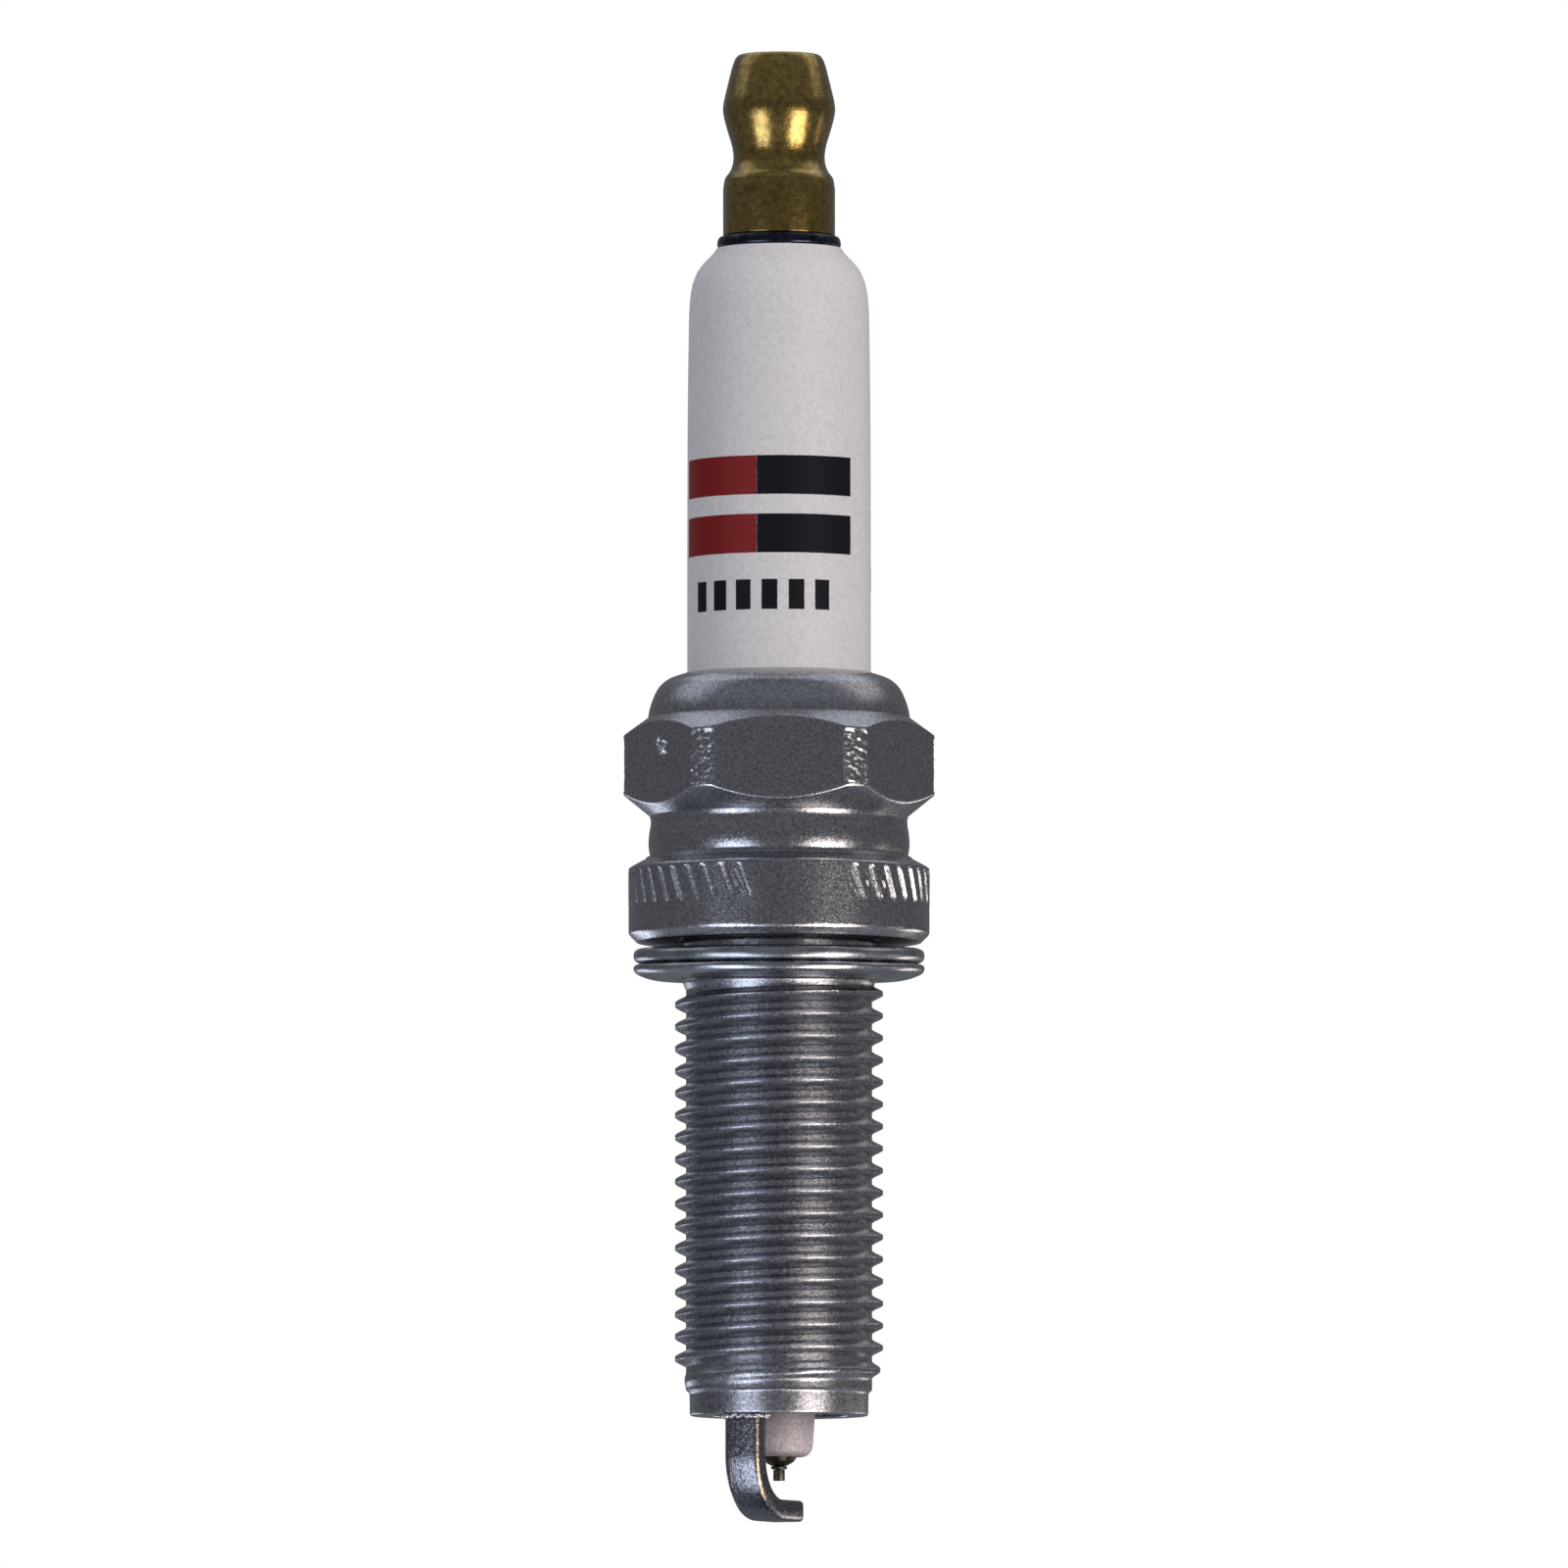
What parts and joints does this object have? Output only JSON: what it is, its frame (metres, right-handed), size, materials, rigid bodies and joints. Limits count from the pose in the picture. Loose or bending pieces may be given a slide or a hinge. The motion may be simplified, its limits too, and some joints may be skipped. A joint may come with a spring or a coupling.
{
  "type": "spark plug",
  "caption": "Long-reach threaded spark plug with waisted terminal nut, glazed insulator, hexagon, captive folded gasket, fine-wire tip and J-shaped ground strap.",
  "frame": {"origin": "on the plug's axis, in the plane of the flange's lower face, where the screwed-in shell is held by the cylinder head", "axes": "+Z along the plug's axis towards the terminal; two flats of the hexagon face -Y and +Y, and -Y is the front; +X is to the right seen from the front"},
  "size_m": [0.0176, 0.017, 0.083],
  "materials": {
    "terminal_nut": "turned, lightly tarnished",
    "terminal_seal_ring": "blue-black, glossy",
    "terminal_stud": "rolled thread, plated",
    "insulator": "white alumina, glazed above the shell and matt at the nose",
    "upper_glass_seal": "fused, opaque with metal powder",
    "resistor_core": "sintered glass and carbon",
    "lower_glass_seal": "fused, opaque with copper powder",
    "center_electrode": "drawn nickel alloy",
    "center_electrode_core": "extruded copper",
    "tip_weld_bead": "laser weld",
    "iridium_tip": "drawn precious-metal wire",
    "shell": "cold-formed, rolled thread, nickel plated",
    "lower_seat_washer": "stamped",
    "lower_packing_ring": "wire",
    "talc_fill": "pressed powder",
    "upper_packing_ring": "wire",
    "gasket": "folded sheet, plated",
    "ground_electrode": "drawn nickel alloy strip",
    "ground_electrode_core": "copper",
    "ground_electrode_weld": "resistance weld flash"
  },
  "bodies": {
    "plug": {"terminal_stud": "terminal_stud", "insulator": "insulator", "upper_glass_seal": "upper_glass_seal", "resistor_core": "resistor_core", "lower_glass_seal": "lower_glass_seal", "center_electrode": "center_electrode", "center_electrode_core": "center_electrode_core", "tip_weld_bead": "tip_weld_bead", "iridium_tip": "iridium_tip", "shell": "shell", "lower_seat_washer": "lower_seat_washer", "lower_packing_ring": "lower_packing_ring", "talc_fill": "talc_fill", "upper_packing_ring": "upper_packing_ring", "ground_electrode": "ground_electrode", "ground_electrode_core": "ground_electrode_core", "ground_electrode_weld": "ground_electrode_weld"},
    "seal_ring": {"terminal_seal_ring": "terminal_seal_ring"},
    "terminal": {"terminal_nut": "terminal_nut"},
    "gasket": {"gasket": "gasket"}
  },
  "joints": [
    {"name": "terminal_lift", "type": "slide", "parent": "plug", "child": "seal_ring", "axis": [0, 0, 1], "range_m": [0, 0.0056]},
    {"name": "terminal_turn", "type": "hinge", "parent": "seal_ring", "child": "terminal", "pos_m": [0, 0, 0.0414], "axis": [0, 0, 1], "range_deg": [0, 2880]},
    {"name": "gasket_spin", "type": "hinge", "parent": "plug", "child": "gasket", "pos_m": [0, 0, -0.0011], "axis": [0, 0, 1], "continuous": true}
  ],
  "couplings": [
    {"joint": "terminal_turn", "follows": "terminal_lift", "rad_per_m": 8976}
  ]
}
